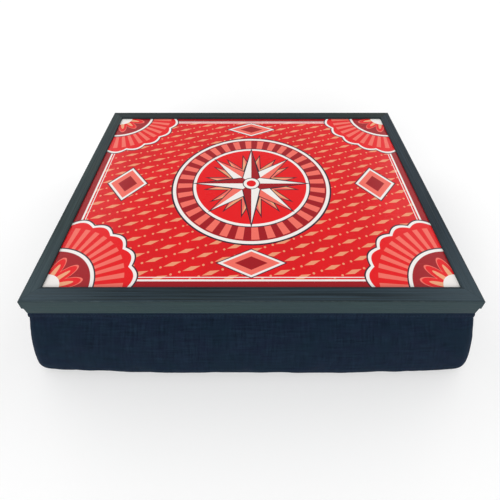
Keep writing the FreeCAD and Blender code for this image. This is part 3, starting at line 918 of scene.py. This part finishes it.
def make_loop_tape(side, material):
    """A strip of loop tape in the place of its solid."""
    low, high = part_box(f"loop_strip_{side}")
    size = high - low
    along_x = size.x > size.y
    length = max(size.x, size.y)
    cells_along = round(length / TAPE_CELL)
    wide = CELLS_ACROSS_TAPE + 1
    points, places = [], []
    for top in (True, False):
        for i in range(cells_along + 1):
            for j in range(wide):
                along = length * i / cells_along
                across = TAPE_WIDTH * j / CELLS_ACROSS_TAPE
                height = tape_profile(across, along, length) if top else 0
                spot = (along, across) if along_x else (TAPE_WIDTH - across, along)
                points.append((low.x + spot[0], low.y + spot[1], low.z + height))
                places.append((along, across))

    # Cells of the top and, turned over, of the underside, then the faces round the rim.
    under = len(points) // 2
    faces = []
    for first, turned in ((0, False), (under, True)):
        for i in range(cells_along):
            for j in range(CELLS_ACROSS_TAPE):
                corner = first + i * wide + j
                cell = [corner, corner + wide, corner + wide + 1, corner + 1]
                faces.append(cell[::-1] if turned else cell)
    rim = list(range(CELLS_ACROSS_TAPE))
    rim += [i * wide + CELLS_ACROSS_TAPE for i in range(cells_along)]
    rim += [cells_along * wide + j for j in range(CELLS_ACROSS_TAPE, 0, -1)]
    rim += [i * wide for i in range(cells_along, 0, -1)]
    for first, second in zip(rim, rim[1:] + rim[:1]):
        faces.append([first, second, under + second, under + first])

    piece = new_piece(f"loop_tape_{side}", points, faces, material)
    threads = piece.data.uv_layers.new(name="tape")
    corners = [places[loop.vertex_index] for loop in piece.data.loops]
    threads.data.foreach_set("uv", np.array(corners).ravel())
    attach(piece, "cushion")
    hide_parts(f"loop_strip_{side}")


# Stitches: pitch, length and thread of the two kinds of sewing.
TAPE_SEWING = (3 * MM, 2.3 * MM, 0.4 * MM)
SEAM_SEWING = (3.4 * MM, 2.6 * MM, 0.5 * MM)

# A stitch is a thread of few sides, whose rings have a place along it and a girth, as shares.
STITCH_SIDES = 6
STITCH_RING_SHARES = ((-0.34, 0.75), (0, 1), (0.34, 0.75))
STITCH_END_SHARES = (-0.5, 0.5)
STITCH_END_DEPTH_SHARE = 0.45
STITCH_HEIGHT_SHARE = 0.8
STITCH_LEAN = 0.08


def stitch_points(middle, lean, aside, outwards, length, thread):
    """Points of one stitch: three rings, and an end that dips into the cloth on each side."""
    points = []
    for place, girth in STITCH_RING_SHARES:
        for turn in range(STITCH_SIDES):
            angle = math.tau * turn / STITCH_SIDES
            out = aside * math.cos(angle) + outwards * (math.sin(angle) * STITCH_HEIGHT_SHARE)
            points.append(middle + lean * length * place + out * thread / 2 * girth)
    for place in STITCH_END_SHARES:
        points.append(middle + lean * length * place - outwards * thread * STITCH_END_DEPTH_SHARE)
    return points


def stitch_faces(first):
    """Faces of one stitch whose points start at a number."""
    faces = []
    middle_ring = first + STITCH_SIDES
    last_ring = middle_ring + STITCH_SIDES
    start_end = last_ring + STITCH_SIDES
    for turn in range(STITCH_SIDES):
        after = (turn + 1) % STITCH_SIDES
        for ring in (first, middle_ring):
            beyond = ring + STITCH_SIDES
            faces.append((ring + turn, ring + after, beyond + after, beyond + turn))
        faces.append((start_end, first + after, first + turn))
        faces.append((start_end + 1, last_ring + turn, last_ring + after))
    return faces


def sew(name, rows, sewing, material):
    """One piece made of straight rows of stitches, which moves with the cushion."""
    pitch, length, thread = sewing
    points, faces = [], []
    for start, end, outwards in rows:
        along = (end - start).normalized()
        aside = outwards.cross(along)
        lean = along + aside * STITCH_LEAN
        count = int((end - start).length / pitch)
        gap = (end - start).length / count
        for number in range(count):
            middle = start + along * gap * (number + 0.5)
            faces += stitch_faces(len(points))
            points += stitch_points(middle, lean, aside, outwards, length, thread)
    piece = new_piece(name, points, faces, material)
    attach(piece, "cushion")


def rectangle_rows(centre, half_x, half_y, corner_gap, tilt_x=math.pi / 2, tilt_y=math.pi / 2):
    """Rows along the sides of a rectangle: start, end, and the way the cloth faces there.

    With a tilt of 0 it faces out, and with a quarter turn up. The ends have tilt_x, front and rear tilt_y.
    """
    rows = []
    for side in (-1, 1):
        ends = [Vector((end * (half_x - corner_gap), side * half_y, 0)) for end in (-side, side)]
        outwards = Vector((0, side * math.cos(tilt_y), math.sin(tilt_y))).normalized()
        rows.append((centre + ends[0], centre + ends[1], outwards))
        ends = [Vector((side * half_x, end * (half_y - corner_gap), 0)) for end in (-side, side)]
        outwards = Vector((side * math.cos(tilt_x), 0, math.sin(tilt_x))).normalized()
        rows.append((centre + ends[0], centre + ends[1], outwards))
    return rows


# The tapes are sewn along their edges.
TAPE_STITCH_INSET = 0.9 * MM
TAPE_STITCH_HEIGHT = 0.62 * MM
TAPE_CORNER_GAP = 1 * MM
pile_cloth = loop_tape("loop_tape")
tape_rows = []
for side in SIDES:
    make_loop_tape(side, pile_cloth)
    low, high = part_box(f"loop_strip_{side}")
    centre = Vector(((low.x + high.x) / 2, (low.y + high.y) / 2, low.z + TAPE_STITCH_HEIGHT))
    half_x = (high.x - low.x) / 2 - TAPE_STITCH_INSET
    half_y = (high.y - low.y) / 2 - TAPE_STITCH_INSET
    tape_rows += rectangle_rows(centre, half_x, half_y, TAPE_CORNER_GAP)
black_thread = sewing_thread("black_thread", shade(14, 14, 17), shade(46, 47, 52))
sew("tape_stitches", tape_rows, TAPE_SEWING, black_thread)

# The top seam has one row on the top and one on the shoulder.
TOP_ROW_INSET = SEAM_INSET + 11 * MM
TOP_ROW_LIFT = 0.05 * MM
TOP_ROW_CORNER_GAP = 4 * MM
SHOULDER_ROW_INSET_X = WAIST_INSET_X + 0.4 * MM
SHOULDER_ROW_INSET_Y = WAIST_INSET_Y - 0.2 * MM
SHOULDER_ROW_HEIGHT = WAIST_HEIGHT + 5 * MM
SHOULDER_ROW_CORNER_GAP = 5 * MM
SHOULDER_ROW_TILT = 0.17
seam_rows = rectangle_rows(
    Vector((0, 0, CUSHION_TOP + TOP_ROW_LIFT)),
    HALF_WIDTH - TOP_ROW_INSET,
    HALF_DEPTH - TOP_ROW_INSET,
    TOP_ROW_CORNER_GAP,
)
seam_rows += rectangle_rows(
    Vector((0, 0, SHOULDER_ROW_HEIGHT)),
    HALF_WIDTH - SHOULDER_ROW_INSET_X,
    HALF_DEPTH - SHOULDER_ROW_INSET_Y,
    SHOULDER_ROW_CORNER_GAP,
    SHOULDER_ROW_TILT,
    0,
)
navy_thread = sewing_thread("navy_thread", shade(14, 22, 36), shade(40, 52, 72))
sew("seam_stitches", seam_rows, SEAM_SEWING, navy_thread)


# Floor and sky: white where they are seen, and dimmer as light.
FLOOR_REACH = 8.0
FLOOR_GAP = 0.05 * MM
FLOOR_GLOW = 0.32
SKY_LIGHT = 0.45
SKY_SEEN = 1.0


def seen_directly(tree):
    """1 for rays from the camera and for what gloss and glass show of them."""
    rays = tree.nodes.new("ShaderNodeLightPath")
    seen = rays.outputs["Is Camera Ray"]
    for kind in ("Is Glossy Ray", "Is Transmission Ray"):
        either = tree.nodes.new("ShaderNodeMath")
        either.operation = "MAXIMUM"
        tree.links.new(seen, either.inputs[0])
        tree.links.new(rays.outputs[kind], either.inputs[1])
        seen = either.outputs[0]
    return seen


def floor_paper(name):
    """Pale matt paper."""
    grain_size = 5
    made = Surface(name, Specular_IOR_Level=0.0, Emission_Color=(1, 1, 1, 1))
    x, y, _ = made.place()
    grain = made.noise(x / grain_size, y / grain_size, 0, 2, 0.5)
    glow = Field(made, seen_directly(made.tree)) * FLOOR_GLOW
    made.feed(made.shader.inputs["Emission Strength"], glow)
    return made.finish(made.mix(grain, (0.70, 0.70, 0.70, 1), (0.73, 0.73, 0.73, 1)), 0.9)


def make_floor():
    """A wide sheet of paper under the object."""
    mesh = bpy.data.meshes.new("floor")
    corners = [(x * FLOOR_REACH, y * FLOOR_REACH, 0) for x, y in ((-1, -1), (1, -1), (1, 1), (-1, 1))]
    mesh.from_pydata(corners, [], [(0, 1, 2, 3)])
    mesh.materials.append(floor_paper("floor_paper"))
    floor = bpy.data.objects.new("floor", mesh)
    floor.location.z = cad_low.z - FLOOR_GAP
    scene.collection.objects.link(floor)


def studio_sky():
    """A white sky all round."""
    world = bpy.data.worlds.new("studio")
    world.use_nodes = True
    tree = world.node_tree
    sky = tree.nodes["Background"]
    sky.inputs["Color"].default_value = (1, 1, 1, 1)
    level = tree.nodes.new("ShaderNodeMapRange")
    tree.links.new(seen_directly(tree), level.inputs["Value"])
    level.inputs["To Min"].default_value = SKY_LIGHT
    level.inputs["To Max"].default_value = SKY_SEEN
    tree.links.new(level.outputs[0], sky.inputs["Strength"])
    return world


make_floor()
scene.world = studio_sky()


def soft_sun(name, azimuth, elevation, strength, spread):
    """Wide studio light from a direction: azimuth 0 is the front, and positive is to the right."""
    light = bpy.data.lights.new(name, "SUN")
    light.energy = strength
    light.angle = math.radians(spread)
    lamp = bpy.data.objects.new(name, light)
    turn, rise = math.radians(azimuth), math.radians(elevation)
    towards = Vector((math.sin(turn) * math.cos(rise), -math.cos(turn) * math.cos(rise), math.sin(rise)))
    lamp.rotation_mode = "QUATERNION"
    lamp.rotation_quaternion = towards.to_track_quat("Z", "Y")
    scene.collection.objects.link(lamp)


# Lamps: name, azimuth and elevation in degrees, strength, and spread in degrees.
LAMPS = (
    ("key", -14, 25, 2.4, 50),
    ("rear_left", -125, 25, 0.9, 60),
    ("rear_right", 125, 25, 0.9, 60),
)
for lamp_settings in LAMPS:
    soft_sun(*lamp_settings)

# Camera at the photograph's viewing angle. Pixels are those of its frame.
FRAME_PIXELS = 500
FOCAL_PIXELS = 397.6
CAMERA_PLACE = (0, -0.382, 0.449)
CAMERA_PITCH = math.radians(38.01)
SHIFT_X = -0.0026
SHIFT_Y = -0.18
NEAREST_SEEN = 0.01
lens = bpy.data.cameras.new("camera")
lens.lens = FOCAL_PIXELS / FRAME_PIXELS * lens.sensor_width
lens.shift_x = SHIFT_X
lens.shift_y = SHIFT_Y
lens.clip_start = NEAREST_SEEN
camera = bpy.data.objects.new("camera", lens)
camera.location = CAMERA_PLACE
camera.rotation_euler = (math.pi / 2 - CAMERA_PITCH, 0, 0)
scene.collection.objects.link(camera)
scene.camera = camera
